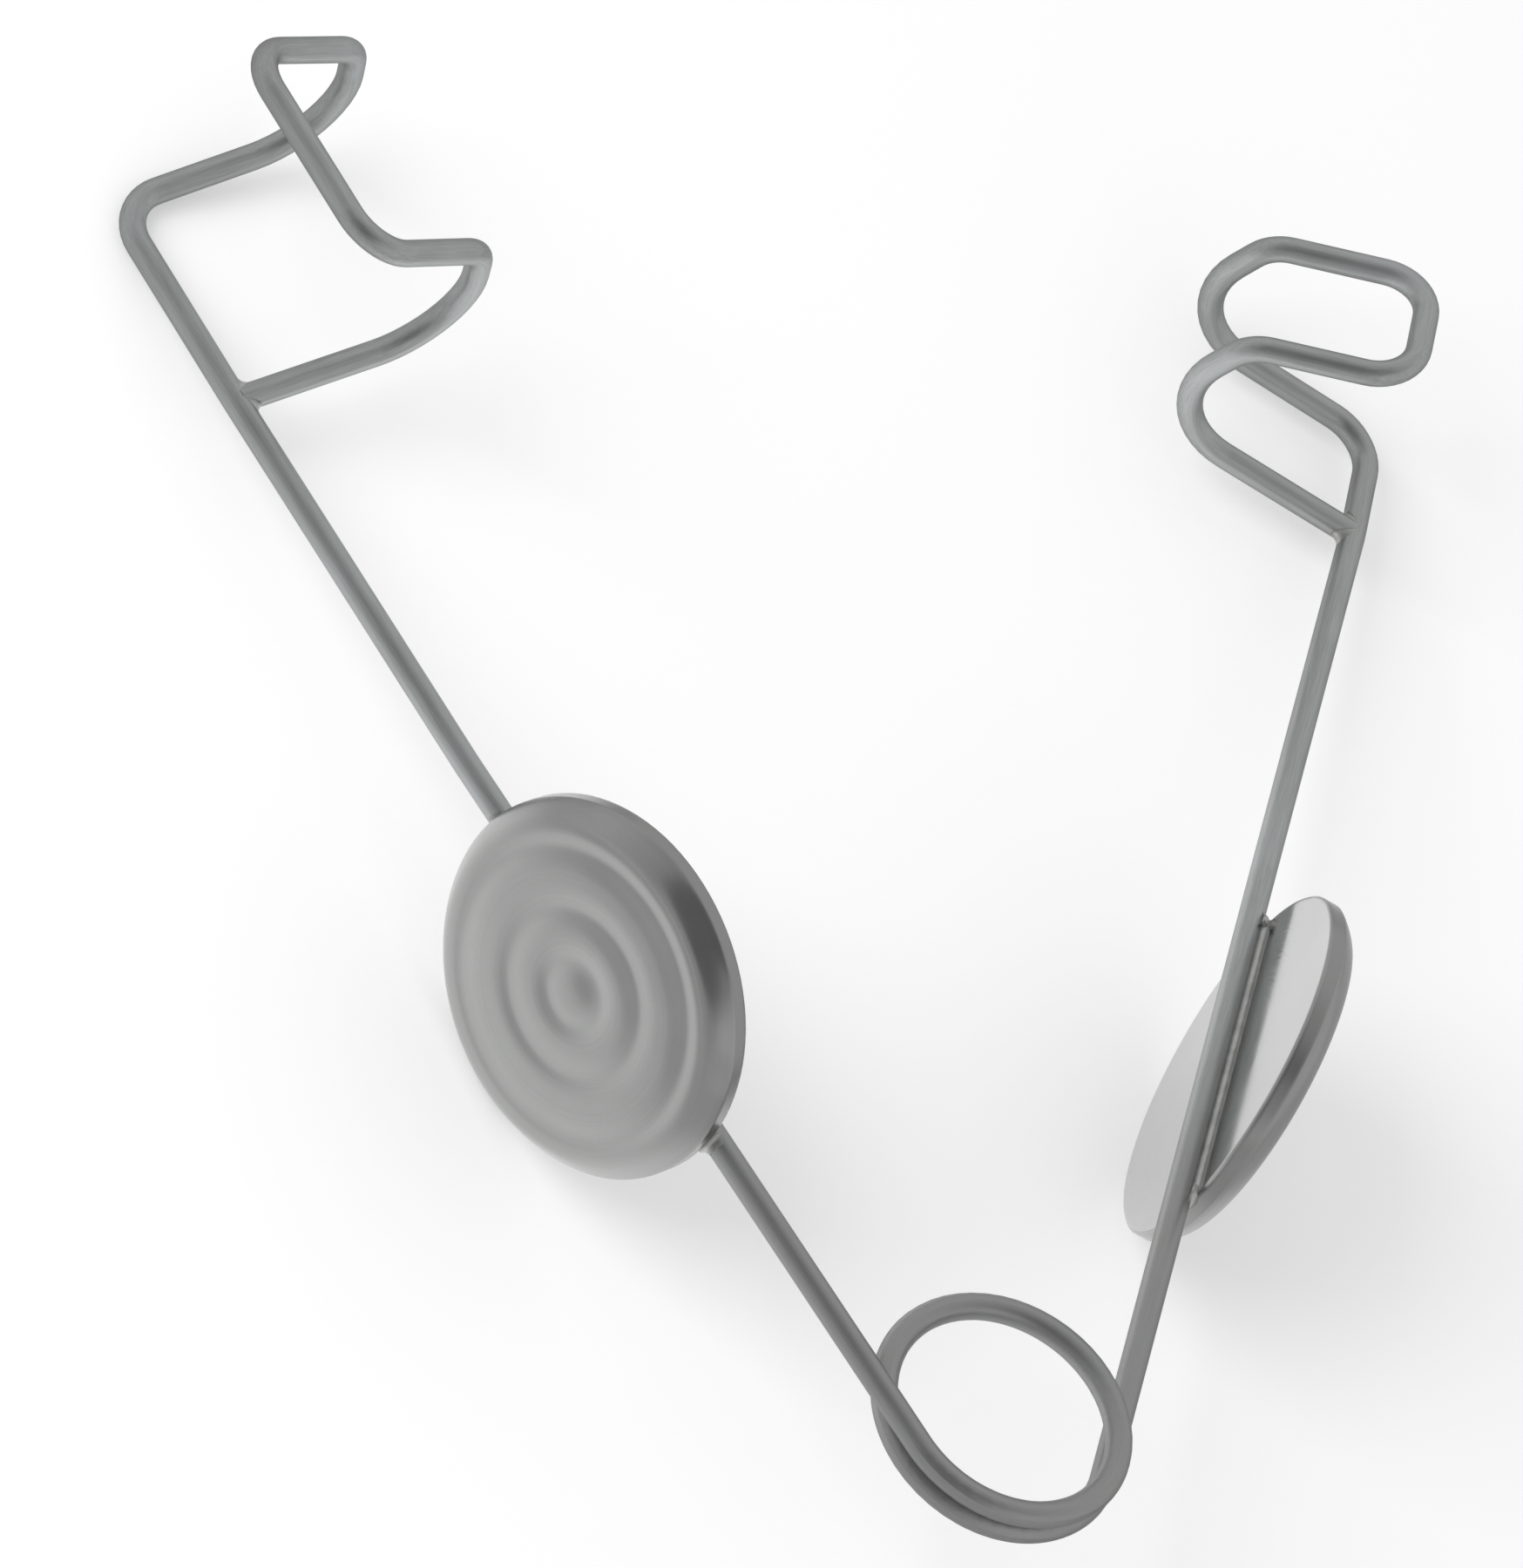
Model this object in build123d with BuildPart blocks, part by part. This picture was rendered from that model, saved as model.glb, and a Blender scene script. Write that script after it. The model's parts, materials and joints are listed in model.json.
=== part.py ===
import os
from math import cos, pi, radians, sin, tan

from build123d import *

os.makedirs("parts", exist_ok=True)

# Wire eye speculum, in millimetres. One round spring wire makes the coil, both arms and both
# eyelid blades. A finger plate is brazed on the outside of each arm.

# Spring wire
wire_diameter = 1.2
wire_radius = wire_diameter / 2

# Coil that springs the arms apart
coil_radius = 5.4  # to the wire's centre
turn_gap = 0.04

# Arms, with lengths along the wire's centre from where it leaves the coil to the blade's corner
arm_opening = 51.5
left_arm_length = 66.3
right_arm_length = 65.4
bend_clearance = 3.0  # from the finger plate's edge to the small hand-set bend in the arm
left_bend_out = -1.0
left_bend_up = 0.5
right_bend_out = 0.5
right_bend_up = -1.5

# Eyelid blades: each is a wire loop with its two legs side by side, hooked back over the lid
left_blade_width = 10.8
right_blade_width = 6.1
heel_reach = 11.9  # the leg runs in from the arm to the heel
heel_rise = 1.2
toe_reach = 9.9  # it rises to the toe
toe_rise = 7.7
lip_reach = 2.9  # and comes back outwards to the lip
lip_rise = 10.3
heel_radius = 3.8
toe_radius = 2.0
corner_radius = 2.2
loop_flare = 0.2
left_blade_turn = -2.0
left_blade_lean = -3.5
left_blade_splay = -3.5
right_blade_turn = 4.0
right_blade_lean = 1.0
right_blade_splay = -3.0
joint_bend_radius = 12.0

# Finger plates: turned discs whose flat back is brazed to the arm, measured from the wire's centre
plate_radius = 8.5
plate_thickness = 1.75
plate_seat_gap = 0.02
left_plate_distance = 24.5
right_plate_distance = 25.3
left_plate_turn = 7.0
right_plate_turn = -5.0
edge_chamfer = 0.12
shoulder_height = 0.9

# Rings turned into the plate's outer face: their places and widths are shares of its radius
shoulder_share = 0.18
groove_shares = (0.75, 0.455)
groove_width_share = 0.106
groove_depth = 0.14
boss_share = 0.2
boss_width_share = 0.16
boss_height = 0.15
dimple_depth = 0.2

# Silver brazing: a seam between arm and plate that ends in a small tongue, and a fillet in each
# corner where a blade's free end meets its arm
seam_reach = 0.25
seam_angle = 35.0
seam_hollow = 0.5
tongue_swell = 0.3
tongue_run = 0.5
tongue_wrap = 0.3
tongue_inset = 0.4
blade_braze_swell = 0.2
blade_braze_run = 0.25
blade_braze_width = 0.8
cope_offset = 0.15  # the blade's free end stops this far from the arm's centre

# Values that follow from the sizes above
coil_pitch = wire_diameter + turn_gap
coil_turns = (540 - arm_opening) / 360
coil_rise = coil_pitch * coil_turns
plate_seat = wire_radius + plate_seat_gap
plate_face = plate_seat + plate_thickness
bend_distance = plate_radius + bend_clearance


def square_to(direction, outward, up):
    """Turn outward and up until they are square to a direction and to each other."""
    up = (up - direction * up.dot(direction)).normalized()
    outward = outward - direction * outward.dot(direction)
    outward = (outward - up * outward.dot(up)).normalized()
    return outward, up


class Side:
    """One arm with its blade and plate, on the flat instrument: +Y runs from coil to blades."""

    def __init__(self, name, hand, arm_length, bend_out, bend_up):
        self.name = name
        self.hand = hand
        half = radians(arm_opening / 2)
        along = Vector(hand * sin(half), cos(half), 0)
        outward = Vector(hand * cos(half), -sin(half), 0)
        up = Vector(0, 0, 1)
        climb = -hand * coil_pitch / (2 * pi * coil_radius)
        self.start = outward * coil_radius - up * (hand * coil_rise / 2)
        self.lower = (along + up * climb).normalized()
        bend = outward * tan(radians(bend_out)) + up * tan(radians(bend_up))
        self.upper = (self.lower + bend).normalized()
        self.outward = outward
        self.up = up
        self.arm_length = arm_length

    def set_plate(self, distance, turn):
        """Find where the finger plate sits and which way it faces."""
        self.plate_centre = self.start + self.lower * distance
        outward, up = square_to(self.lower, self.outward, self.up)
        self.plate_normal = outward * cos(radians(turn)) + up * sin(radians(turn))
        self.bend = self.start + self.lower * (distance + bend_distance)
        self.upper_length = self.arm_length - distance - bend_distance

    def set_blade(self, width, turn, lean, splay):
        """Find the corners of the blade's loop, from the arm out to the lip."""
        self.joint = self.bend + self.upper * (self.upper_length - width)
        outward, up = square_to(self.upper, self.outward, self.up)
        twist = Axis((0, 0, 0), self.upper)
        outward = outward.rotate(twist, turn)
        up = up.rotate(twist, turn)
        tip_run = self.upper + up * tan(radians(lean)) + outward * tan(radians(splay))
        self.tip_run = tip_run.normalized()
        self.leg_out, self.leg_up = square_to(self.tip_run, outward, up)
        self.corner = self.joint + self.tip_run * width
        self.tip_leg = self.leg_points(self.corner, 1)
        self.root_leg = self.leg_points(self.joint, -1)
        self.lip_middle = (self.tip_leg[-1] + self.root_leg[-1]) * 0.5

    def leg_points(self, foot, flare_side):
        """The heel, toe and lip corners of one leg of the loop."""
        corners = []
        for reach, rise, share in (
            (heel_reach, heel_rise, 0.5),
            (toe_reach, toe_rise, 1.0),
            (lip_reach, lip_rise, 1.0),
        ):
            corner = foot - self.leg_out * reach + self.leg_up * rise
            corners.append(corner + self.tip_run * (flare_side * share * loop_flare))
        return corners


left = Side("left", -1, left_arm_length, left_bend_out, left_bend_up)
left.set_plate(left_plate_distance, left_plate_turn)
left.set_blade(left_blade_width, left_blade_turn, left_blade_lean, left_blade_splay)

right = Side("right", 1, right_arm_length, right_bend_out, right_bend_up)
right.set_plate(right_plate_distance, right_plate_turn)
right.set_blade(right_blade_width, right_blade_turn, right_blade_lean, right_blade_splay)

# The wire's centre line, on the flat instrument
with BuildLine() as coil_line:
    Helix(coil_pitch, coil_rise, coil_radius, center=(0, 0, -coil_rise / 2), lefthand=True)
coil = coil_line.wires()[0].rotate(Axis.Z, -arm_opening / 2)


def arm_line(side):
    """From the coil along the arm, round the blade's outer leg, to the middle of its lip."""
    corners = [side.start, side.bend, side.joint, side.corner, *side.tip_leg, side.lip_middle]
    rounds = [
        joint_bend_radius,
        joint_bend_radius,
        corner_radius,
        heel_radius,
        toe_radius,
        corner_radius,
    ]
    with BuildLine() as line:
        FilletPolyline(*corners, radius=rounds)
    return line.wires()[0]


def closing_line(side):
    """The blade's inner leg, from its brazed end on the arm to the middle of the lip."""
    first_run = (side.root_leg[0] - side.joint).normalized()
    end = side.joint + first_run * cope_offset
    with BuildLine() as line:
        FilletPolyline(
            end,
            *side.root_leg,
            side.lip_middle,
            radius=[heel_radius, toe_radius, corner_radius],
        )
    return line.wires()[0]


def points_on(wire, count=160):
    return [wire.position_at(step / count) for step in range(count + 1)]


arm_lines = {side.name: arm_line(side) for side in (left, right)}
closing_lines = {side.name: closing_line(side) for side in (left, right)}

blade_points = []
for side in (left, right):
    blade_points += points_on(arm_lines[side.name]) + points_on(closing_lines[side.name])


def plate_edge(side, direction):
    """The point of a finger plate's edge that reaches furthest in a direction."""
    normal = side.plate_normal
    flat = (direction - normal * direction.dot(normal)).normalized()
    inner = side.plate_centre + normal * (plate_seat + edge_chamfer) + flat * plate_radius
    outer = side.plate_centre + normal * (plate_face - shoulder_height) + flat * plate_radius
    return max(inner, outer, key=lambda point: point.dot(direction))


# The instrument lies on three points: the low edge of each plate and the lower blade
floor_normal = Vector(0, 0, 1)
for attempt in range(12):
    down = floor_normal * -1
    left_foot = plate_edge(left, down)
    right_foot = plate_edge(right, down)
    blade_foot = max(blade_points, key=lambda point: point.dot(down)) + down * wire_radius
    floor_normal = (right_foot - left_foot).cross(blade_foot - left_foot).normalized()

# The instrument's own plane as it lies, centred over the floor below it
floor_across = Vector(1, 0, 0) - floor_normal * floor_normal.X
floor_plane = Plane(origin=left_foot, x_dir=floor_across, z_dir=floor_normal)


def reach_towards(direction):
    """How far the whole instrument reaches in a direction."""
    wire_reach = max(point.dot(direction) for point in blade_points + points_on(coil))
    plate_reach = max(plate_edge(side, direction).dot(direction) for side in (left, right))
    return max(wire_reach + wire_radius, plate_reach)


middle = floor_normal * -reach_towards(floor_normal * -1)
for direction in (floor_plane.x_dir, floor_plane.y_dir):
    middle += direction * ((reach_towards(direction) - reach_towards(direction * -1)) / 2)
footing = Plane(origin=middle, x_dir=floor_plane.x_dir, z_dir=floor_normal)
instrument = footing.location.inverse()


def placed(origin, x_dir, z_dir):
    """A plane given on the flat instrument, put where the instrument lies."""
    return Plane(instrument * Plane(origin=origin, x_dir=x_dir, z_dir=z_dir).location)


def round_wire(line):
    """The wire's round section, swept along a line of the flat instrument."""
    path = line.moved(instrument)
    with BuildPart() as wire:
        with BuildSketch(Plane(origin=path @ 0, z_dir=path % 0)):
            Circle(wire_radius)
        sweep(path=path)
    return wire


# Spring wire: one run from lip to lip, closed by each blade's inner leg
long_run = round_wire(Wire(arm_lines["left"].edges() + coil.edges() + arm_lines["right"].edges()))
inner_legs = {side.name: round_wire(closing_lines[side.name]) for side in (left, right)}

with BuildPart() as spring_wire:
    add(long_run.part)
    add(inner_legs["left"].part)
    add(inner_legs["right"].part)

spring_wire.part.label = "spring_wire"
export_step(spring_wire.part, "parts/spring_wire.step")


def ring_arc(share, width_share, height):
    """An arc across a ring of the plate's face, hollow for a groove and raised for the boss."""
    middle = plate_radius * share
    half = plate_radius * width_share / 2
    return ThreePointArc(
        (middle + half, plate_face), (middle, plate_face + height), (middle - half, plate_face)
    )


def finger_plate(side):
    """A disc with rings in its face, turned about the axis square to its arm."""
    section = placed(side.plate_centre, side.lower, side.lower.cross(side.plate_normal))
    shoulder_top = (plate_radius * (1 - shoulder_share), plate_face)
    dimple_floor = (0, plate_face - dimple_depth)
    with BuildPart() as plate:
        with BuildSketch(section):
            with BuildLine():
                back = Polyline(
                    dimple_floor,
                    (0, plate_seat),
                    (plate_radius - edge_chamfer, plate_seat),
                    (plate_radius, plate_seat + edge_chamfer),
                    (plate_radius, plate_face - shoulder_height),
                )
                TangentArc(shoulder_top, back @ 1, tangent=(1, 0))
                ring_end = shoulder_top
                for share in groove_shares:
                    ring = ring_arc(share, groove_width_share, -groove_depth)
                    Line(ring_end, ring @ 0)
                    ring_end = ring @ 1
                boss = ring_arc(boss_share, boss_width_share, boss_height)
                Line(ring_end, boss @ 0)
                TangentArc(dimple_floor, boss @ 1, tangent=(1, 0))
            make_face()
        revolve(axis=Axis(section.origin, section.y_dir))
    return plate


plates = {}
for side in (left, right):
    plate = finger_plate(side)
    plate.part.label = f"{side.name}_finger_plate"
    export_step(plate.part, f"parts/{plate.part.label}.step")
    plates[side.name] = plate


def plate_braze(side):
    """A seam along the arm where it lies on the plate, with a tongue past the plate's edge."""
    lengthwise = placed(side.plate_centre, side.lower, side.lower.cross(side.plate_normal))
    crosswise = placed(side.plate_centre, side.plate_normal.cross(side.lower), side.lower)
    cut = placed(side.plate_centre + side.plate_normal * tongue_wrap, side.lower, side.plate_normal)
    inner = plate_radius - tongue_inset
    outer = plate_radius + tongue_run
    swell = wire_radius + tongue_swell
    core = wire_radius / 2
    reach = wire_radius + seam_reach
    touch = wire_radius * cos(radians(seam_angle))
    touch_height = wire_radius * sin(radians(seam_angle))
    with BuildPart() as braze:
        for end in (-1, 1):
            with BuildSketch(lengthwise):
                with BuildLine():
                    tongue = Polyline(
                        (end * outer, wire_radius),
                        (end * outer, core),
                        (end * inner, core),
                        (end * inner, swell),
                        (end * plate_radius, swell),
                    )
                    RadiusArc(tongue @ 1, tongue @ 0, end * -tongue_run)
                make_face()
        revolve(axis=Axis(lengthwise.origin, lengthwise.x_dir))
        split(bisect_by=cut, keep=Keep.TOP)
        with BuildSketch(crosswise):
            with BuildLine():
                Line((-reach, plate_seat), (reach, plate_seat))
                RadiusArc((reach, plate_seat), (touch, touch_height), -seam_hollow)
                Line((touch, touch_height), (-touch, touch_height))
                RadiusArc((-touch, touch_height), (-reach, plate_seat), -seam_hollow)
            make_face()
        extrude(amount=plate_radius - edge_chamfer, both=True)
        add(spring_wire.part, mode=Mode.SUBTRACT)
        add(plates[side.name].part, mode=Mode.SUBTRACT)
    return braze


def blade_braze(side):
    """Brazing in the corners where the blade's free end meets the arm."""
    run = (side.root_leg[0] - side.joint).normalized()
    section = placed(side.joint, side.tip_run, side.tip_run.cross(run))
    width = wire_radius + blade_braze_swell
    height = wire_radius + blade_braze_run
    with BuildPart() as braze:
        with BuildSketch(section):
            with BuildLine():
                Line((-width, 0), (width, 0))
                Line((width, 0), (width, wire_radius))
                RadiusArc((width, wire_radius), (wire_radius, height), blade_braze_run)
                Line((wire_radius, height), (-wire_radius, height))
                RadiusArc((-wire_radius, height), (-width, wire_radius), blade_braze_run)
                Line((-width, wire_radius), (-width, 0))
            make_face()
        extrude(amount=blade_braze_width / 2, both=True)
        add(inner_legs[side.name].part, mode=Mode.SUBTRACT)
        add(long_run.part, mode=Mode.SUBTRACT)
    return braze


for side in (left, right):
    braze = plate_braze(side)
    braze.part.label = f"{side.name}_plate_braze"
    export_step(braze.part, f"parts/{braze.part.label}.step")
    braze = blade_braze(side)
    braze.part.label = f"{side.name}_blade_braze"
    export_step(braze.part, f"parts/{braze.part.label}.step")
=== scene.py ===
# %% [markdown]
# Wire eye speculum in satin steel
#
# A wire speculum is bent from one round spring wire, with a finger plate brazed on each arm. The solids
# come from the CAD model. The wire and the brazing under the plates are kept as they are, while the plates
# and the brazing at the blades are drawn again in finer form, each in its own place. Everything then gets
# the finish of drawn and polished stainless steel, and is seen on a pale table under soft light.

import json
from math import cos, pi, radians, sin, sqrt

import bmesh
import bpy
from mathutils import Matrix, Vector


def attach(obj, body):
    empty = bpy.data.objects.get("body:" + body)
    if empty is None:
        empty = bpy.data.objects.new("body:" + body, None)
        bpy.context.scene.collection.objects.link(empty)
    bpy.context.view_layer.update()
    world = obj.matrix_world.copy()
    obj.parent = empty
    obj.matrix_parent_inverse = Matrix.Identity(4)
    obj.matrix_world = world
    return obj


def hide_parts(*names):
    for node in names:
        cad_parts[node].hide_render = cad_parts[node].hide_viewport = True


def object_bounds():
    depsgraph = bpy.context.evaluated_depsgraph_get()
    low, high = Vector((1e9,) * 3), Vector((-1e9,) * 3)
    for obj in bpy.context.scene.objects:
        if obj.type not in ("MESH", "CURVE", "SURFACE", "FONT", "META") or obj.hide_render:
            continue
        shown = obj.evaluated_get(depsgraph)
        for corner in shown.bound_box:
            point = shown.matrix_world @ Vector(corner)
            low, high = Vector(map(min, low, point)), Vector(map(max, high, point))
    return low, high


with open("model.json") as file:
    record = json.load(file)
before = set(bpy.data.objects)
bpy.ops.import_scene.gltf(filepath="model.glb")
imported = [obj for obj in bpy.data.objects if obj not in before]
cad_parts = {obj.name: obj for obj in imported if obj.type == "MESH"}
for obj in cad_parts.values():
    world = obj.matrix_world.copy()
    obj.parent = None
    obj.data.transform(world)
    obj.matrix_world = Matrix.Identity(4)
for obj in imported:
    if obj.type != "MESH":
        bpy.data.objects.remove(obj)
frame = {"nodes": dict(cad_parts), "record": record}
cad_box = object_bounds()
print("nodes:", sorted(frame["nodes"]))
print("CAD box:", cad_box)

# %% [markdown]
# Everything in Blender is in metres, while sizes on such an instrument are thought of in millimetres.
# One factor keeps the two apart. The record has a mount point on each finger plate that tells where the
# plate faces, and the plate's middle is measured on its solid, so neither has to be typed again.

# %% Units and places
MM = 0.001
sides = ("left", "right")
mounts = {mount["name"]: mount for mount in frame["record"]["mounts"]}


def area_centre(node):
    """The middle of a node's surface. On a turned part it lies on the turning axis."""
    total = Vector((0, 0, 0))
    area = 0.0
    for face in node.data.polygons:
        total += face.center * face.area
        area += face.area
    return total / area


plate_axes = {}
for side in sides:
    plate = frame["nodes"][f"{side}_finger_plate"]
    facing = Vector(mounts[f"{side}_finger_land"]["axis"]).normalized()
    plate_axes[side] = (area_centre(plate), facing)
    print(side, "plate centre (mm):", [round(part / MM, 2) for part in plate_axes[side][0]])

# %% [markdown]
# The camera stands above the left arm and looks down at the instrument, rolled so that the spring coil
# hangs low in the picture. Its place is worked out from a target, a distance and three angles, which
# are easier to judge than a matrix. A long lens keeps the wire from widening towards the eye.

# %% Camera
target = Vector((-5.67, 2.83, 5.445)) * MM
distance = 699.3 * MM
azimuth = radians(-55.54)
elevation = radians(49.91)
roll = radians(55.91)
lens_length = 366.05
sensor_size = 36.0
nearest_seen = 10 * MM

towards_camera = Vector((
    cos(elevation) * sin(azimuth),
    -cos(elevation) * cos(azimuth),
    sin(elevation),
))
level_right = Vector((cos(azimuth), sin(azimuth), 0))
level_up = towards_camera.cross(level_right)
camera_right = level_right * cos(roll) + level_up * sin(roll)
camera_up = towards_camera.cross(camera_right)

camera_data = bpy.data.cameras.new("camera")
camera_data.lens = lens_length
camera_data.sensor_width = sensor_size
camera_data.clip_start = nearest_seen
camera = bpy.data.objects.new("camera", camera_data)
bpy.context.scene.collection.objects.link(camera)
turned = Matrix((camera_right, camera_up, towards_camera)).transposed().to_4x4()
camera.matrix_world = Matrix.Translation(target + towards_camera * distance) @ turned
bpy.context.scene.camera = camera
bpy.context.scene.view_settings.view_transform = "Standard"
print("camera at (mm):", [round(part / MM, 1) for part in camera.location])

# %% [markdown]
# Node trees are long to write out one line at a time, so a few small helpers add a node, set its
# sockets and wire it up. They are used by the world, the table and every finish below.

# %% Helpers for node trees


def add_node(tree, kind, settings=None, **inputs):
    """Add a node, set its own settings, and set or link the inputs given by name."""
    made = tree.nodes.new(kind)
    for name, value in (settings or {}).items():
        setattr(made, name, value)
    for name, value in inputs.items():
        connect(tree, value, made.inputs[name.replace("_", " ")])
    return made


def connect(tree, value, socket):
    """Link a socket's output into an input, or set the input to a plain value."""
    if isinstance(value, bpy.types.NodeSocket):
        tree.links.new(value, socket)
    else:
        socket.default_value = value


def maths(tree, operation, first, second=0.0, third=0.0, clamp=False):
    """One arithmetic step, whose result is an output socket."""
    made = add_node(tree, "ShaderNodeMath", {"operation": operation, "use_clamp": clamp})
    for value, socket in zip((first, second, third), made.inputs):
        connect(tree, value, socket)
    return made.outputs[0]


def vector_maths(tree, operation, first, second=(0.0, 0.0, 0.0)):
    """One vector step. A dot product or a length gives a value, anything else a vector."""
    made = add_node(tree, "ShaderNodeVectorMath", {"operation": operation})
    connect(tree, first, made.inputs[0])
    connect(tree, second, made.inputs[1])
    gives_value = operation in ("DOT_PRODUCT", "LENGTH")
    return made.outputs["Value" if gives_value else "Vector"]


def scaled(tree, vector, amount):
    """A vector times a value."""
    made = vector_maths(tree, "SCALE", vector)
    connect(tree, amount, made.node.inputs["Scale"])
    return made


def spread(tree, value, low, high, new_low, new_high):
    """Stretch a value from one range to another, with soft ends."""
    made = add_node(tree, "ShaderNodeMapRange", {"interpolation_type": "SMOOTHSTEP"})
    for setting, socket in zip((value, low, high, new_low, new_high), made.inputs):
        connect(tree, setting, socket)
    return made.outputs["Result"]


def mixed(tree, kind, amount, first, second):
    """Mix two inputs of one kind: RGBA for colours or VECTOR."""
    made = add_node(tree, "ShaderNodeMix", {"data_type": kind})
    connect(tree, amount, made.inputs["Factor"])
    connect(tree, first, made.inputs["A"])
    connect(tree, second, made.inputs["B"])
    return made.outputs["Result"]


# %% [markdown]
# Polished steel has hardly any colour of its own and shows the room around it. The room here is an even
# grey that turns dark behind the camera, where a real studio has no light, and the darkest place is a
# little above the camera. The camera itself sees plain white. Matt surfaces are lit by one even grey, so
# the darker places are seen only by rays that come off metal.

# %% Room seen in the metal
room_grey = 0.62
room_near = 0.46
room_dark = 0.18
room_light = 0.62
near_fade = (cos(radians(75)), cos(radians(45)))
dark_fade = (cos(radians(40)), cos(radians(27)))
darkest_rise = 0.25
darkest = (towards_camera + Vector((0, 0, darkest_rise))).normalized()

world = bpy.data.worlds.new("studio")
bpy.context.scene.world = world
world.use_nodes = True
tree = world.node_tree
tree.nodes.clear()
direction = add_node(tree, "ShaderNodeTexCoord").outputs["Generated"]
nearness = vector_maths(tree, "DOT_PRODUCT", direction, tuple(darkest))
around = spread(tree, nearness, *near_fade, room_grey, room_near)
dark = spread(tree, nearness, *dark_fade, 0.0, 1.0)
tone = maths(tree, "MULTIPLY_ADD", dark, maths(tree, "SUBTRACT", room_dark, around), around)
rays = add_node(tree, "ShaderNodeLightPath")
glossy_or_clear = maths(
    tree, "MAXIMUM", rays.outputs["Is Glossy Ray"], rays.outputs["Is Transmission Ray"]
)
unseen = mixed(tree, "RGBA", glossy_or_clear, (room_light, room_light, room_light, 1), tone)
seen = mixed(tree, "RGBA", rays.outputs["Is Camera Ray"], unseen, (1, 1, 1, 1))
background = add_node(tree, "ShaderNodeBackground", Color=seen, Strength=1.0)
add_node(tree, "ShaderNodeOutputWorld", Surface=background.outputs[0])
print("room tones:", room_grey, room_near, room_dark)

# %% [markdown]
# A soft box is a square area lamp. Its power follows from how bright its face should look, so that it can
# be moved or resized without changing the exposure. The key light stands low on the left, where it lights
# the table in front of both plates. It is kept out of glossy rays, because a lamp's square face would
# be drawn as a hard streak along each wire. The weak side light does show there.

# %% Soft boxes


def soft_box(name, direction, away, size, brightness):
    """A square lamp that faces the instrument from a direction, as bright as its face should look."""
    data = bpy.data.lights.new(name, "AREA")
    data.shape = "SQUARE"
    data.size = size
    data.energy = brightness * pi * size * size
    lamp = bpy.data.objects.new(name, data)
    bpy.context.scene.collection.objects.link(lamp)
    direction = Vector(direction).normalized()
    lamp.location = target + direction * away
    lamp.rotation_euler = direction.to_track_quat("Z", "Y").to_euler()
    print(name, "power (W):", round(data.energy, 3))
    return lamp


key_light = soft_box("key_light", (-0.85, 0.15, 0.62), away=0.6, size=0.35, brightness=5.0)
key_light.visible_glossy = False
soft_box("side_light", (0.05, -0.75, 0.66), away=0.6, size=0.45, brightness=0.2)

# %% [markdown]
# The table is a pale matt sheet. Its own shading keeps the instrument's soft shadow, and a little plain
# white is added for camera, glossy and transmission rays, so that it reads white in the picture and in
# the metal without any more light falling on the steel. For glossy rays a pool of light is painted on the
# sheet: its colour and glow are raised round the instrument and lowered further off, and that painted
# gradient is what lets a flat satin face show relief.

# %% Table
table_size = 3.0
table_gap = 0.02 * MM
table_lift = 0.27
table_grey = 0.8
painted_pool_radius = 15 * MM
painted_pool_end = 50 * MM
painted_pool_bright = 1.1
painted_pool_dim = 0.52

table_mesh = bpy.data.meshes.new("table")
half = table_size / 2
corners = [(-half, -half, 0), (half, -half, 0), (half, half, 0), (-half, half, 0)]
table_mesh.from_pydata(corners, [], [(0, 1, 2, 3)])
table = bpy.data.objects.new("table", table_mesh)
table.location.z = cad_box[0][2] - table_gap
bpy.context.scene.collection.objects.link(table)

table_finish = bpy.data.materials.new("pale_table")
table_finish.use_nodes = True
tree = table_finish.node_tree
tree.nodes.clear()
rays = add_node(tree, "ShaderNodeLightPath")
in_metal = rays.outputs["Is Glossy Ray"]
place = add_node(tree, "ShaderNodeTexCoord").outputs["Object"]
# Painted pool of light: in glossy rays the sheet's colour and glow are raised near the instrument and
# lowered further off
painted_pool = spread(tree, vector_maths(tree, "LENGTH", place), painted_pool_radius, painted_pool_end, painted_pool_bright, painted_pool_dim)
painted_pool = maths(tree, "MULTIPLY_ADD", in_metal, maths(tree, "SUBTRACT", painted_pool, 1.0), 1.0)
shade = maths(tree, "MULTIPLY", painted_pool, table_grey)
grey = add_node(tree, "ShaderNodeCombineColor", Red=shade, Green=shade, Blue=shade)
matt = add_node(tree, "ShaderNodeBsdfDiffuse", Color=grey.outputs[0])
seen = maths(tree, "MAXIMUM", rays.outputs["Is Camera Ray"], in_metal)
seen = maths(tree, "MAXIMUM", seen, rays.outputs["Is Transmission Ray"])
lift = maths(tree, "MULTIPLY", maths(tree, "MULTIPLY", seen, painted_pool), table_lift)
glow = add_node(tree, "ShaderNodeEmission", Color=(1, 1, 1, 1), Strength=lift)
both = add_node(tree, "ShaderNodeAddShader")
tree.links.new(matt.outputs[0], both.inputs[0])
tree.links.new(glow.outputs[0], both.inputs[1])
add_node(tree, "ShaderNodeOutputMaterial", Surface=both.outputs[0])
table_mesh.materials.append(table_finish)
print("table at (mm):", round(table.location.z / MM, 3))

# %% [markdown]
# Edge wear is one effect that the plates and the brazing share: hands and cloths round their edges. The
# Bevel node gives the normal that a small round would have, so a worn edge catches the light without
# needing any more faces. The group holds it with one setting, the radius of that round.

# %% Group: worn edges
bevel_samples = 6


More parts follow.
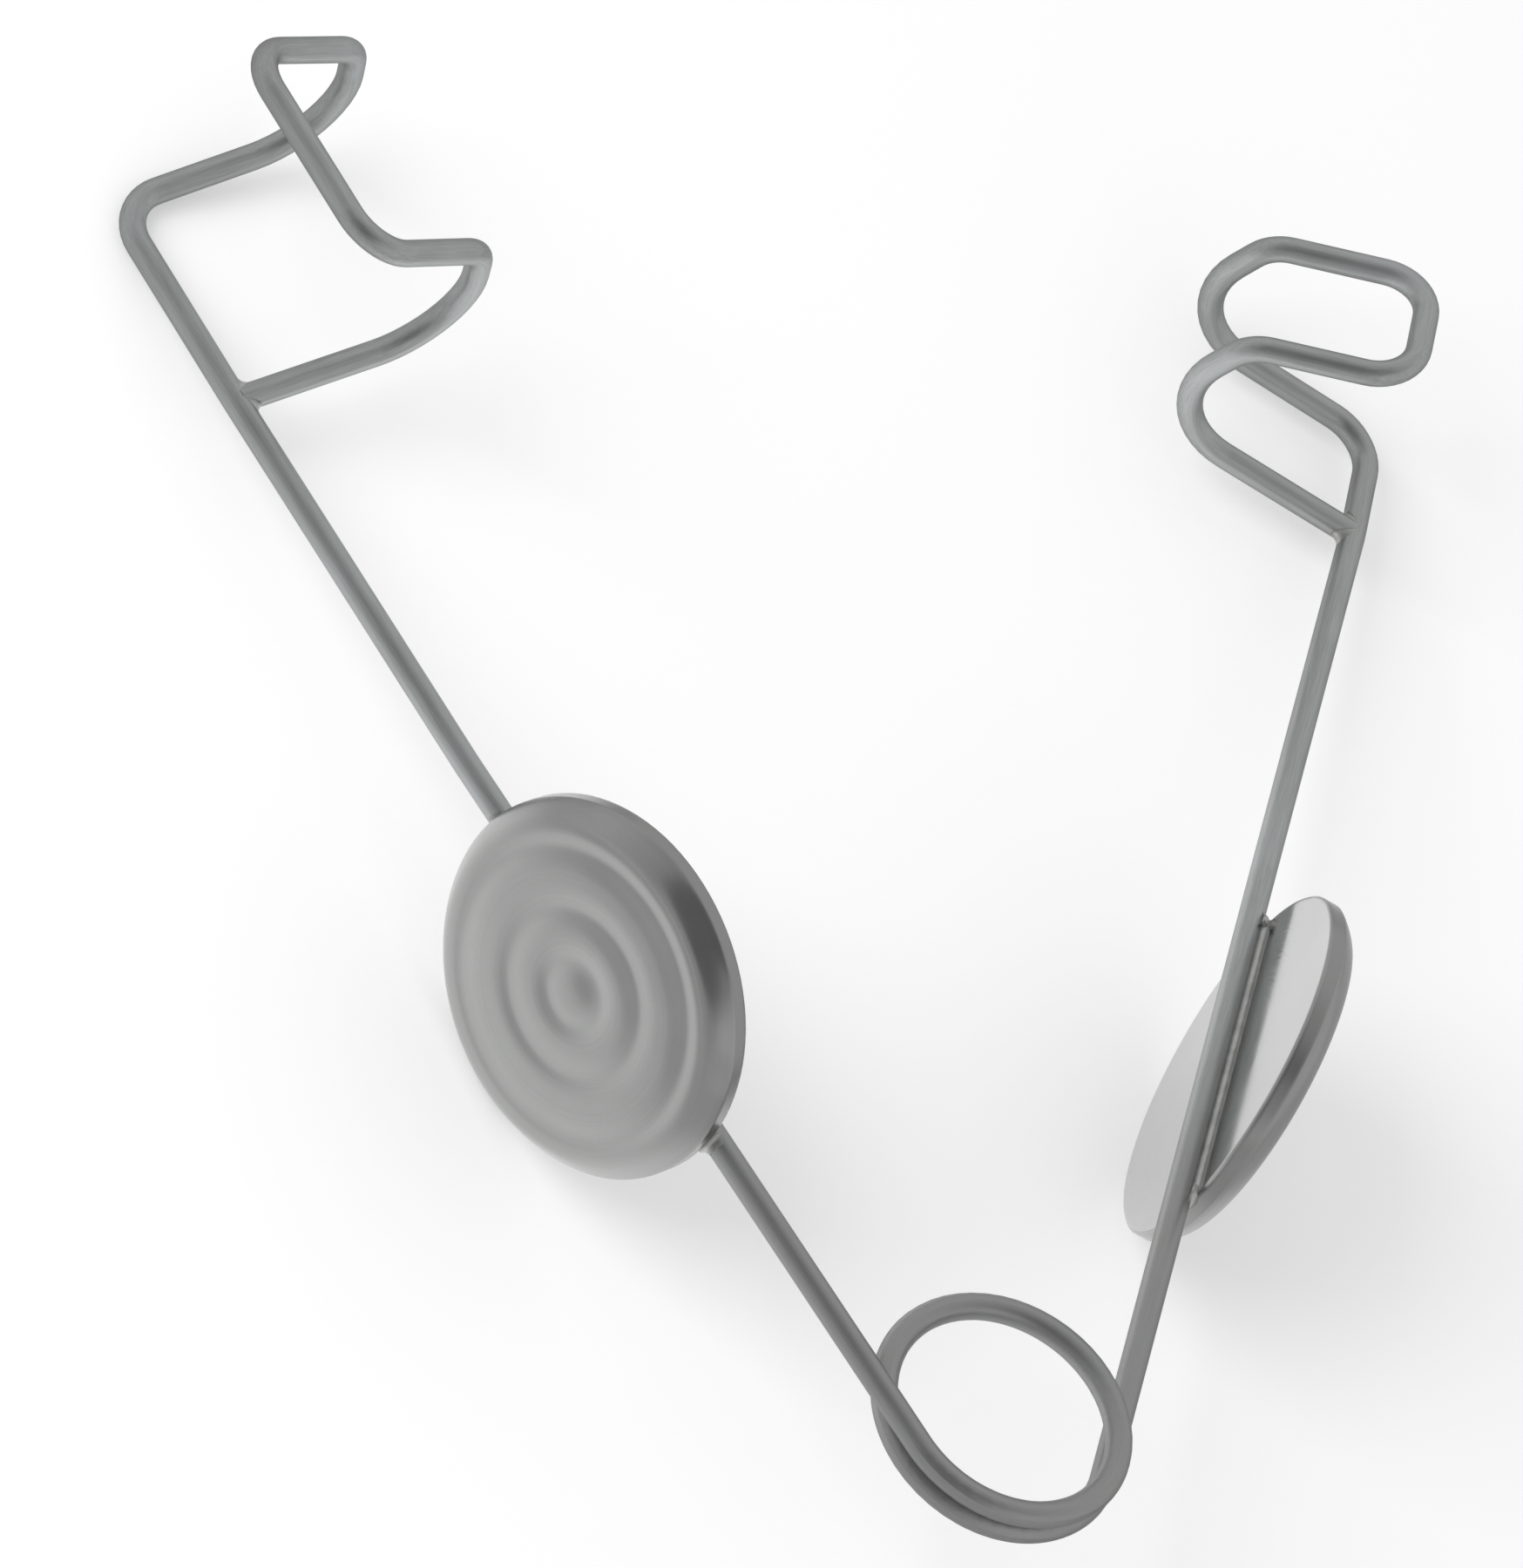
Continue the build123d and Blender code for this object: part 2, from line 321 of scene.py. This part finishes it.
def new_group(name, inputs, outputs):
    """A shader node group with named sockets. Inputs come with their starting values."""
    group = bpy.data.node_groups.new(name, "ShaderNodeTree")
    for label, kind, start in inputs:
        socket = group.interface.new_socket(label, in_out="INPUT", socket_type=kind)
        socket.default_value = start
    for label, kind in outputs:
        group.interface.new_socket(label, in_out="OUTPUT", socket_type=kind)
    return group, group.nodes.new("NodeGroupInput"), group.nodes.new("NodeGroupOutput")


VALUE = "NodeSocketFloat"
VECTOR = "NodeSocketVector"

worn_edges, given, result = new_group(
    "worn_edges", [("Radius", VALUE, 0.15 * MM)], [("Normal", VECTOR)]
)
rounded = add_node(
    worn_edges, "ShaderNodeBevel", {"samples": bevel_samples}, Radius=given.outputs["Radius"]
)
connect(worn_edges, rounded.outputs["Normal"], result.inputs["Normal"])
print("group:", worn_edges.name)

# %% [markdown]
# Wire is drawn through a die, which leaves fine lines along it. On a round wire the surface normal stays
# the same along the wire and turns around it. Noise that is looked up by the normal is therefore a set
# of lines that run along the wire, round every bend, without any unwrapping. A share of the place on the
# wire is added to the normal, so that the lines break off here and there.

# %% Group: drawn lines
break_scale = 220.0

drawn_lines, given, result = new_group(
    "drawn_lines", [("Fineness", VALUE, 9.0), ("Broken", VALUE, 0.25)], [("Lines", VALUE)]
)
geometry = add_node(drawn_lines, "ShaderNodeNewGeometry")
place = add_node(drawn_lines, "ShaderNodeTexCoord").outputs["Object"]
along = scaled(drawn_lines, place, break_scale)
broken = scaled(drawn_lines, along, given.outputs["Broken"])
lookup = vector_maths(drawn_lines, "ADD", geometry.outputs["Normal"], broken)
fine = add_node(
    drawn_lines, "ShaderNodeTexNoise", Vector=lookup, Scale=given.outputs["Fineness"],
    Detail=3.0, Roughness=0.6,
)
connect(drawn_lines, fine.outputs["Fac"], result.inputs["Lines"])
print("group:", drawn_lines.name)

# %% [markdown]
# Satin polishing leaves a cloudy haze: some patches are a little duller than others. Two sizes of noise
# make it. Every finish uses it for its roughness and for a slight change of tone.

# %% Group: polishing haze
polishing_haze, given, result = new_group(
    "polishing_haze",
    [("Patch Size", VALUE, 3.0 * MM), ("Grain Size", VALUE, 0.12 * MM)],
    [("Patches", VALUE), ("Grain", VALUE)],
)
place = add_node(polishing_haze, "ShaderNodeTexCoord").outputs["Object"]
for size, outlet, detail in (("Patch Size", "Patches", 3.0), ("Grain Size", "Grain", 2.0)):
    scale = maths(polishing_haze, "DIVIDE", 1.0, given.outputs[size])
    noise = add_node(
        polishing_haze, "ShaderNodeTexNoise", Vector=place, Scale=scale, Detail=detail, Roughness=0.55
    )
    connect(polishing_haze, noise.outputs["Fac"], result.inputs[outlet])
print("group:", polishing_haze.name)

# %% [markdown]
# A finger plate is turned on a lathe, so its tool marks are rings about its own axis. The group moves a
# point into the plate's frame, where the distance from the axis is a plain length, and looks up noise
# by that distance alone. A little noise round the ring keeps the marks from being perfect.

# %% Group: turning marks
wander_scale = 260.0
wander_reach = 0.05 * MM

turning_marks, given, result = new_group(
    "turning_marks",
    [("Centre", VECTOR, (0, 0, 0)), ("Axis", VECTOR, (0, 0, 1)), ("Spacing", VALUE, 0.12 * MM)],
    [("Rings", VALUE), ("Radius", VALUE)],
)
place = add_node(turning_marks, "ShaderNodeTexCoord").outputs["Object"]
offset = vector_maths(turning_marks, "SUBTRACT", place, given.outputs["Centre"])
height = vector_maths(turning_marks, "DOT_PRODUCT", offset, given.outputs["Axis"])
lift = scaled(turning_marks, given.outputs["Axis"], height)
from_axis = vector_maths(
    turning_marks, "LENGTH", vector_maths(turning_marks, "SUBTRACT", offset, lift)
)
wander = add_node(turning_marks, "ShaderNodeTexNoise", Vector=place, Scale=wander_scale, Detail=1.0)
wobble = maths(turning_marks, "MULTIPLY", wander.outputs["Fac"], wander_reach)
steps = maths(
    turning_marks, "DIVIDE", maths(turning_marks, "ADD", from_axis, wobble), given.outputs["Spacing"]
)
rings = add_node(
    turning_marks, "ShaderNodeTexNoise", {"noise_dimensions": "1D"}, W=steps, Scale=1.0, Detail=2.0
)
connect(turning_marks, rings.outputs["Fac"], result.inputs["Rings"])
connect(turning_marks, from_axis, result.inputs["Radius"])
print("group:", turning_marks.name)

# %% [markdown]
# The face of a plate gets painted shade and a painted highlight in rings: its middle is painted darker
# and the crest round it lighter. One group gives such a ring by its radius: 1 in the middle of its width
# and 0 at its sides, with soft ends, so that several rings add up smoothly.

# %% Group: soft ring
soft_ring, given, result = new_group(
    "soft_ring",
    [("Radius", VALUE, 0.0), ("Middle", VALUE, 1.0 * MM), ("Half Width", VALUE, 1.0 * MM)],
    [("Mask", VALUE)],
)
away = maths(soft_ring, "SUBTRACT", given.outputs["Radius"], given.outputs["Middle"])
away = maths(soft_ring, "DIVIDE", away, given.outputs["Half Width"])
inside = maths(soft_ring, "SUBTRACT", 1.0, maths(soft_ring, "MULTIPLY", away, away), clamp=True)
connect(soft_ring, maths(soft_ring, "MULTIPLY", inside, inside), result.inputs["Mask"])
print("group:", soft_ring.name)

# %% [markdown]
# Each finish starts from the same metal shader, and its colours are greys with hardly a tint. Metallic is
# the same all over, so it is set on the shader's own socket, and the groups only drive what changes over
# the surface. Blender's noise seldom leaves the middle of its range, so the finishes stretch it from there.

# %% Steel to start from
noise_core = (0.35, 0.65)
noise_range = (0.3, 0.7)


def place_group(tree, group, **inputs):
    """Put a node group in a tree and set or link its inputs."""
    return add_node(tree, "ShaderNodeGroup", {"node_tree": group}, **inputs).outputs


def new_steel(name):
    """A metal material with nothing on it yet but its shader."""
    material = bpy.data.materials.new(name)
    material.use_nodes = True
    tree = material.node_tree
    tree.nodes.clear()
    shader = add_node(tree, "ShaderNodeBsdfPrincipled", Metallic=1.0)
    add_node(tree, "ShaderNodeOutputMaterial", Surface=shader.outputs[0])
    return material, tree, shader


def dress(node_name, material):
    """Give a CAD node its finish, in place of the plain one that it was packed with."""
    node = frame["nodes"][node_name]
    for slot in node.material_slots:
        slot.link = "OBJECT"
        slot.material = material
    print(node_name, "<-", material.name, "on", len(node.material_slots), "slots")


# %% [markdown]
# The spring wire is satin all over, with drawn lines along it. It is bumped by the lines very lightly,
# because on a wire this thin a strong bump would sparkle instead of looking brushed. Towards the coil
# the wire is made a shade darker. The specular tint makes it darker where it turns away from the eye,
# because satin metal reflects less there.

# %% Finish: spring wire
wire_dull = (0.44, 0.449, 0.438, 1)
wire_bright = (0.555, 0.574, 0.578, 1)
wire_coil_darker = (0.365, 0.369, 0.361, 1)
wire_edge_tint = (0.6, 0.6, 0.6, 1)
wire_roughness = (0.38, 0.46)
wire_grain = 0.35
coil_darker_from = cad_box[0][1] + 14 * MM
coil_darker_to = cad_box[0][1] + 34 * MM
coil_darker_most = 0.7

wire_steel, tree, shader = new_steel("satin_spring_wire")
connect(tree, wire_edge_tint, shader.inputs["Specular Tint"])
lines = place_group(tree, drawn_lines, Fineness=9.0, Broken=0.25)
haze = place_group(tree, polishing_haze, Patch_Size=8.0 * MM, Grain_Size=0.15 * MM)
tone = maths(tree, "MULTIPLY_ADD", lines["Lines"], 0.5, maths(tree, "MULTIPLY", haze["Patches"], 0.5))
tone = spread(tree, tone, *noise_core, 0.0, 1.0)
steel = mixed(tree, "RGBA", tone, wire_dull, wire_bright)
place = add_node(tree, "ShaderNodeTexCoord").outputs["Object"]
along = add_node(tree, "ShaderNodeSeparateXYZ", Vector=place).outputs["Y"]
# The wire is made a shade darker where its y is low, towards the coil
coil_darker = spread(tree, along, coil_darker_from, coil_darker_to, coil_darker_most, 0.0)
steel = mixed(tree, "RGBA", coil_darker, steel, wire_coil_darker)
connect(tree, steel, shader.inputs["Base Color"])
rough = spread(tree, haze["Patches"], *noise_range, *wire_roughness)
connect(tree, rough, shader.inputs["Roughness"])
relief = maths(tree, "MULTIPLY_ADD", haze["Grain"], wire_grain, lines["Lines"])
bump = add_node(tree, "ShaderNodeBump", Height=relief, Strength=0.4, Distance=0.003 * MM)
connect(tree, bump.outputs[0], shader.inputs["Normal"])
dress("spring_wire", wire_steel)

# %% [markdown]
# A finger plate is turned on a lathe and then polished, which softens the tool's crisp rings into low
# rounded ones round a small dome. The CAD node has the disc and its tool cuts. The polished face is made
# here as a fine mesh, because bumps in a material would be flat when seen from the side. Its outline is
# worked out point by point and spun about the plate's axis, as the lathe does it. Each ring lies between
# two valleys and has a height and a flatness, which makes its top flatter the more it is over 2. The seat
# and the radius are measured on the CAD node, so the new plate lies exactly where that one is.

# %% Turned outline
ring_valleys = (1.5, 3.8, 6.55, 8.3)
ring_heights = (0.17, 0.18, 0.2, 0.16)
ring_flatness = (2.0, 2.3, 2.9, 2.0)
plate_thickness = 1.75
polished_off = 0.08
shoulder_start = 6.97
shoulder_drop = 0.9
edge_chamfer = 0.12
outline_step = 0.1
back_shares = (0.8, 0.4, 0.0)


def ring_height(radius):
    """The height of the rounded rings over their valleys. All sizes in the outline are millimetres."""
    inner = -ring_valleys[0]
    for valley, height, flatness in zip(ring_valleys, ring_heights, ring_flatness):
        if radius < valley:
            away = abs(2 * radius - inner - valley) / (valley - inner)
            return height * (1 - away**flatness) ** 2
        inner = valley
    return 0.0


def shoulder_fall(radius, plate_radius):
    """How far the rounded shoulder has fallen at a radius: an arc that starts level with the face."""
    width = plate_radius - shoulder_start
    arc = (width**2 + shoulder_drop**2) / (2 * shoulder_drop)
    beyond = max(0.0, radius - shoulder_start)
    return arc - sqrt(arc**2 - beyond**2)


def turned_outline(plate_radius):
    """Points (radius, height over the seat) from the middle of the face to the middle of the back."""
    points = []
    steps = round(plate_radius / outline_step)
    for step in range(steps + 1):
        radius = plate_radius * step / steps
        height = plate_thickness - polished_off + ring_height(radius)
        points.append((radius, height - shoulder_fall(radius, plate_radius)))
    points.append((plate_radius, edge_chamfer))
    points.append((plate_radius - edge_chamfer, 0.0))
    for share in back_shares:
        points.append((plate_radius * share, 0.0))
    return points


print("rings between valleys at (mm):", ring_valleys)

# %% [markdown]
# The spin makes one strip of faces for each pair of outline points. The points on the axis come out once
# for every step of the turn and are merged. The spin lists its faces in a new order each time, so they are
# sorted, and every run gives the same faces in the same order. Edges that are really sharp, at the rim and
# the back, are marked so, and everything else is shaded smooth.

# %% Finger plates
turning_steps = 96
merge_distance = 0.001 * MM
sharp_angle = radians(30)


def sort_faces(maker):
    """Put faces in the order of their corners' numbers, which are the same in every run."""
    maker.verts.index_update()
    count = len(maker.verts)

    def corner_number(face):
        number = 0
        for index in sorted(corner.index for corner in face.verts):
            number = number * count + index
        return number

    maker.faces.sort(key=corner_number)


def finished_piece(maker, name):
    """A new object from worked faces, smooth but for the edges that are really sharp."""
    bmesh.ops.recalc_face_normals(maker, faces=maker.faces)
    for face in maker.faces:
        face.smooth = True
    for edge in maker.edges:
        edge.smooth = edge.calc_face_angle() < sharp_angle
    mesh = bpy.data.meshes.new(name)
    maker.to_mesh(mesh)
    maker.free()
    piece = bpy.data.objects.new(name, mesh)
    bpy.context.scene.collection.objects.link(piece)
    return piece


def turned_plate(side):
    """One finger plate as a finely turned mesh, in the place of its CAD node."""
    centre, facing = plate_axes[side]
    node = frame["nodes"][f"{side}_finger_plate"]
    heights = [(vertex.co - centre).dot(facing) for vertex in node.data.vertices]
    widths = [(vertex.co - centre).cross(facing).length for vertex in node.data.vertices]
    seat = centre + facing * min(heights)
    plate_radius = max(widths) / MM
    across = facing.orthogonal().normalized()

    maker = bmesh.new()
    corners = []
    for radius, height in turned_outline(plate_radius):
        corners.append(maker.verts.new(seat + (across * radius + facing * height) * MM))
    edges = [maker.edges.new(pair) for pair in zip(corners, corners[1:])]
    bmesh.ops.spin(
        maker, geom=corners + edges, cent=seat, axis=facing, angle=2 * pi, steps=turning_steps,
        use_merge=True,
    )
    bmesh.ops.remove_doubles(maker, verts=maker.verts, dist=merge_distance)
    sort_faces(maker)

    piece = finished_piece(maker, f"{side}_plate_turned")
    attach(piece, "root")
    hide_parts(f"{side}_finger_plate")
    print(piece.name, "radius", round(plate_radius, 3), "mm,", len(piece.data.polygons), "faces")
    return piece


turned_plates = {side: turned_plate(side) for side in sides}

# %% [markdown]
# The face of a plate shows faint rings of the tool under its polish. The dome is painted darker and the
# crest round it lighter, a painted shade and a painted highlight. The rim's wall is painted darker, a
# painted shade. The flat back, which the hand doesn't touch, keeps a finer polish and is painted a paler
# steel than the face, a painted sheen. Rings of painted shade and highlight are given by their middle and
# half width in millimetres and by their strength, which is negative where the face is painted darker.

# %% Finish: finger plates
plate_dull = (0.395, 0.4, 0.393, 1)
plate_bright = (0.46, 0.466, 0.459, 1)
wall_painted_shade = (0.24, 0.243, 0.236, 1)
back_sheen_dull = (0.48, 0.485, 0.48, 1)
back_sheen_bright = (0.56, 0.565, 0.56, 1)
plate_tones = (0.35, 0.8)
plate_roughness = (0.21, 0.29)
back_roughness_change = (-0.17, -0.12)
plate_grain = 0.4
marks_share = 0.25
# Painted shade on the dome and a painted highlight on the crest round it
painted_shade_middle = (0.0, 1.3, -0.5)
painted_highlight_ring = (1.6, 0.9, 0.35)
wall_shade_share = 0.35
face_turned = (0.3, 0.75)
back_turned = (-0.6, -0.9)


def painted_rings_total(tree, radius, rings):
    """Several rings of painted shade and painted highlight added up."""
    total = 0.0
    for middle, half_width, strength in rings:
        ring = place_group(
            tree, soft_ring, Radius=radius, Middle=middle * MM, Half_Width=half_width * MM
        )
        total = maths(tree, "MULTIPLY_ADD", ring["Mask"], strength, total)
    return total


def plate_finish(side):
    """Turned and polished steel for one finger plate, with marks about that plate's axis."""
    centre, facing = plate_axes[side]
    material, tree, shader = new_steel(f"{side}_plate_steel")
    marks = place_group(
        tree, turning_marks, Centre=tuple(centre), Axis=tuple(facing), Spacing=0.16 * MM
    )
    haze = place_group(tree, polishing_haze, Patch_Size=5.0 * MM, Grain_Size=0.15 * MM)
    edges = place_group(tree, worn_edges, Radius=0.25 * MM)

    # Which way the surface looks: the face, the rim's wall or the back
    normal = add_node(tree, "ShaderNodeNewGeometry").outputs["Normal"]
    outwards = vector_maths(tree, "DOT_PRODUCT", normal, tuple(facing))
    on_face = spread(tree, outwards, *face_turned, 0.0, 1.0)
    on_back = spread(tree, outwards, *back_turned, 0.0, 1.0)
    on_wall = maths(tree, "SUBTRACT", maths(tree, "SUBTRACT", 1.0, on_face), on_back)

    tone = maths(tree, "MULTIPLY", haze["Patches"], 1 - marks_share)
    tone = maths(tree, "MULTIPLY_ADD", marks["Rings"], marks_share, tone)
    tone = spread(tree, tone, *noise_core, *plate_tones)
    # Painted shade and painted highlight: on the face the dome is painted darker and the crest round it
    # lighter
    painted_rings = painted_rings_total(tree, marks["Radius"], (painted_shade_middle, painted_highlight_ring))
    tone = maths(tree, "MULTIPLY_ADD", painted_rings, on_face, tone, clamp=True)
    steel = mixed(tree, "RGBA", tone, plate_dull, plate_bright)
    # Painted shade: the rim's wall is painted a darker steel
    steel = mixed(tree, "RGBA", maths(tree, "MULTIPLY", on_wall, wall_shade_share), steel, wall_painted_shade)
    # Painted sheen: the back is painted a paler steel than the face, which brightens its reflection
    polished = mixed(tree, "RGBA", tone, back_sheen_dull, back_sheen_bright)
    connect(tree, mixed(tree, "RGBA", on_back, steel, polished), shader.inputs["Base Color"])

    satin = spread(tree, haze["Patches"], *noise_range, *plate_roughness)
    finer = spread(tree, marks["Rings"], *noise_range, *back_roughness_change)
    connect(tree, maths(tree, "MULTIPLY_ADD", on_back, finer, satin), shader.inputs["Roughness"])

    surface = mixed(tree, "VECTOR", on_face, edges["Normal"], normal)
    relief = maths(tree, "MULTIPLY_ADD", haze["Grain"], plate_grain, marks["Rings"])
    bump = add_node(
        tree, "ShaderNodeBump", Height=relief, Strength=0.25, Distance=0.002 * MM, Normal=surface
    )
    connect(tree, bump.outputs[0], shader.inputs["Normal"])
    return material


for side, piece in turned_plates.items():
    finish = plate_finish(side)
    piece.data.materials.append(finish)
    print(piece.name, "<-", finish.name)

# %% [markdown]
# Each blade's free end is brazed on its arm, and the melted silver sets as a soft fillet in both corners
# between the two wires. The CAD nodes hold it with plain webs. Here it is drawn as it flows. Going round
# the leg, each section starts on the leg, curves through the corner and ends on the arm, level with both.
# It is widest in the corner and runs out to nothing at the sides, where the wires are flush. The place
# of each joint, in millimetres, and the directions of leg and arm are those of the CAD model.

# %% Blade brazing
wire_radius = 0.6
fillet_reach = 0.6
fillet_sink = 0.015
fillet_root = 0.15
fillet_half_turn = radians(84)
fillet_turns = 28
fillet_steps = 8

blade_joints = {
    "left": {
        "place": (-29.321, 18.931, 2.85),
        "leg": (0.9138, 0.3701, 0.1675),
        "arm": ((-0.3365, 0.9129, -0.2309), (0.4009, -0.8992, 0.1752)),
    },
    "right": {
        "place": (30.524, 20.777, 2.515),
        "leg": (-0.9099, 0.4147, -0.0078),
        "arm": ((0.4175, 0.8927, -0.1695), (-0.4649, -0.8667, 0.1806)),
    },
}


def fillet_section(place, leg, arm, turn):
    """One closed section of a fillet, in millimetres: its hollow curve and a root inside the metal."""
    across = (arm - leg * arm.dot(leg)).normalized()
    outward = across * cos(turn) + leg.cross(across) * sin(turn)

    # Where this line along the leg's surface dips into the arm
    rise = leg - arm * leg.dot(arm)
    aside = (outward - arm * outward.dot(arm)) * wire_radius
    square = rise.length_squared
    half = rise.dot(aside)
    root = sqrt(max(0.0, half**2 - square * (aside.length_squared - wire_radius**2)))
    corner = place + outward * wire_radius + leg * ((root - half) / square)
    arm_outward = (corner - place - arm * (corner - place).dot(arm)).normalized()

    reach = fillet_reach * cos(turn)
    on_leg = corner + leg * reach - outward * fillet_sink
    on_arm = corner + arm * reach - arm_outward * fillet_sink
    section = []
    for step in range(fillet_steps + 1):
        share = step / fillet_steps
        upper = on_leg.lerp(corner, share)
        lower = corner.lerp(on_arm, share)
        section.append(upper.lerp(lower, share))
    section.append(corner - (outward + arm_outward) * fillet_root)
    return section


def blade_fillets(side):
    """Both fillets of one blade's joint, as one piece."""
    joint = blade_joints[side]
    place = Vector(joint["place"])
    leg = Vector(joint["leg"]).normalized()
    maker = bmesh.new()
    for arm in joint["arm"]:
        arm = Vector(arm).normalized()
        loops = []
        for step in range(fillet_turns + 1):
            turn = fillet_half_turn * (2 * step / fillet_turns - 1)
            section = fillet_section(place, leg, arm, turn)
            loops.append([maker.verts.new(point * MM) for point in section])
        for first, second in zip(loops, loops[1:]):
            for number in range(len(first)):
                maker.faces.new((first[number - 1], first[number], second[number], second[number - 1]))
        maker.faces.new(loops[0])
        maker.faces.new(loops[-1][::-1])

    piece = finished_piece(maker, f"{side}_blade_fillets")
    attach(piece, "root")
    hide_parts(f"{side}_blade_braze")
    print(piece.name, "at (mm):", joint["place"], "with", len(piece.data.polygons), "faces")
    return piece


fillets = [blade_fillets(side) for side in sides]

# %% [markdown]
# Silver brazing flows into the corners and is then polished with the rest. Silver is paler than steel
# and a shade warmer, and its surface is slightly uneven. The corner that it fills stays in shade, so it
# reads about as grey as the wire beside it.

# %% Finish: brazing
braze_dull = (0.53, 0.531, 0.52, 1)
braze_bright = (0.64, 0.643, 0.632, 1)
braze_roughness = (0.32, 0.45)

braze, tree, shader = new_steel("silver_braze")
haze = place_group(tree, polishing_haze, Patch_Size=0.8 * MM, Grain_Size=0.12 * MM)
tone = spread(tree, haze["Patches"], *noise_core, 0.0, 1.0)
connect(tree, mixed(tree, "RGBA", tone, braze_dull, braze_bright), shader.inputs["Base Color"])
rough = spread(tree, haze["Grain"], *noise_range, *braze_roughness)
connect(tree, rough, shader.inputs["Roughness"])
edges = place_group(tree, worn_edges, Radius=0.35 * MM)
bump = add_node(
    tree, "ShaderNodeBump", Height=haze["Patches"], Strength=0.3, Distance=0.015 * MM,
    Normal=edges["Normal"],
)
connect(tree, bump.outputs[0], shader.inputs["Normal"])
for node_name in ("left_plate_braze", "right_plate_braze"):
    dress(node_name, braze)
for piece in fillets:
    piece.data.materials.append(braze)
    print(piece.name, "<-", braze.name)
